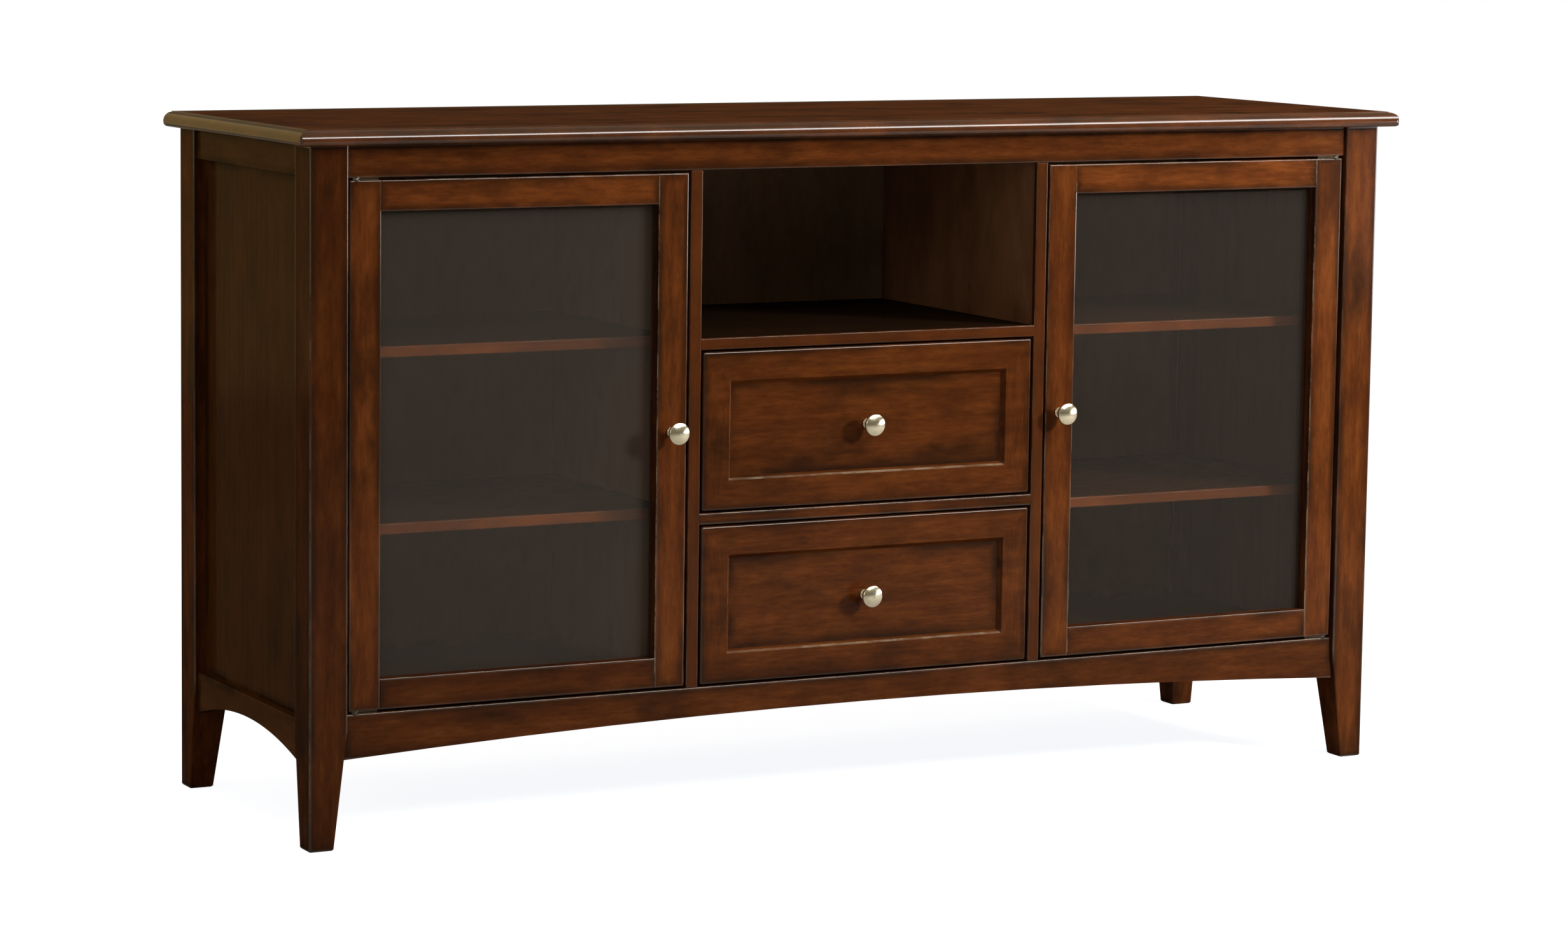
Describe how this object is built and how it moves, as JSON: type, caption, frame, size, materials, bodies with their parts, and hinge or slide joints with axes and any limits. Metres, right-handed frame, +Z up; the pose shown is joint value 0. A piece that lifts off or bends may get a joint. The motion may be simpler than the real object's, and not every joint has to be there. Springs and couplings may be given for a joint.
{
  "type": "tv console",
  "caption": "Wooden television console on tapered legs: glazed side cupboards with loose shelves, and an open niche over drawers between them, under a nosed top.",
  "frame": {"origin": "on the floor, under the middle of the top", "axes": "+X to the right along the front, +Y from the front to the rear, +Z up"},
  "size_m": [1.524, 0.457, 0.846],
  "materials": {
    "stained_cherry": "dark cherry stain under satin lacquer",
    "stained_board": "veneered board, dark cherry stain, satin lacquer",
    "pale_wood": "plain hardwood, clear lacquer",
    "clear_glass": "clear float glass",
    "satin_nickel": "satin nickel plate",
    "plated_steel": "bright zinc plate",
    "brown_plastic": "moulded, dark brown"
  },
  "bodies": {
    "cabinet": {"back_panel": "stained_board", "corner_blocks": "pale_wood", "door_catches": "brown_plastic", "drawer_divider_rail": "stained_cherry", "drawer_runners": "pale_wood", "floor_cleats": "pale_wood", "floor_panel": "stained_board", "front_bottom_rail": "stained_cherry", "front_left_leg": "stained_cherry", "front_right_leg": "stained_cherry", "front_top_rail": "stained_cherry", "hinge_case_leaves": "plated_steel", "hinge_pins": "plated_steel", "left_lower_shelf": "stained_board", "left_partition": "stained_board", "left_side_bottom_rail": "stained_cherry", "left_side_panel": "stained_cherry", "left_side_top_rail": "stained_cherry", "left_upper_shelf": "stained_board", "niche_shelf": "stained_board", "rear_bottom_rail": "stained_cherry", "rear_left_leg": "stained_cherry", "rear_right_leg": "stained_cherry", "rear_top_rail": "stained_cherry", "right_lower_shelf": "stained_board", "right_partition": "stained_board", "right_side_bottom_rail": "stained_cherry", "right_side_panel": "stained_cherry", "right_side_top_rail": "stained_cherry", "right_upper_shelf": "stained_board", "shelf_pins": "plated_steel", "top_panel": "stained_cherry"},
    "left_door": {"left_door_bottom_rail": "stained_cherry", "left_door_glass": "clear_glass", "left_door_glass_stops": "stained_cherry", "left_door_hinge_leaves": "plated_steel", "left_door_hinge_stile": "stained_cherry", "left_door_knob": "satin_nickel", "left_door_lock_stile": "stained_cherry", "left_door_strike": "plated_steel", "left_door_top_rail": "stained_cherry"},
    "right_door": {"right_door_bottom_rail": "stained_cherry", "right_door_glass": "clear_glass", "right_door_glass_stops": "stained_cherry", "right_door_hinge_leaves": "plated_steel", "right_door_hinge_stile": "stained_cherry", "right_door_knob": "satin_nickel", "right_door_lock_stile": "stained_cherry", "right_door_strike": "plated_steel", "right_door_top_rail": "stained_cherry"},
    "upper_drawer": {"upper_drawer_bottom": "pale_wood", "upper_drawer_front_frame": "stained_cherry", "upper_drawer_front_panel": "stained_cherry", "upper_drawer_knob": "satin_nickel", "upper_drawer_walls": "pale_wood"},
    "lower_drawer": {"lower_drawer_bottom": "pale_wood", "lower_drawer_front_frame": "stained_cherry", "lower_drawer_front_panel": "stained_cherry", "lower_drawer_knob": "satin_nickel", "lower_drawer_walls": "pale_wood"}
  },
  "joints": [
    {"name": "left_door_hinge", "type": "hinge", "parent": "cabinet", "child": "left_door", "pos_m": [-0.682, -0.1975, 0.47425], "axis": [0, 0, -1], "range_deg": [0, 110]},
    {"name": "right_door_hinge", "type": "hinge", "parent": "cabinet", "child": "right_door", "pos_m": [0.682, -0.1975, 0.47425], "axis": [0, 0, 1], "range_deg": [0, 110]},
    {"name": "upper_drawer_slide", "type": "slide", "parent": "cabinet", "child": "upper_drawer", "axis": [0, -1, 0], "range_m": [0, 0.28]},
    {"name": "lower_drawer_slide", "type": "slide", "parent": "cabinet", "child": "lower_drawer", "axis": [0, -1, 0], "range_m": [0, 0.28]}
  ]
}
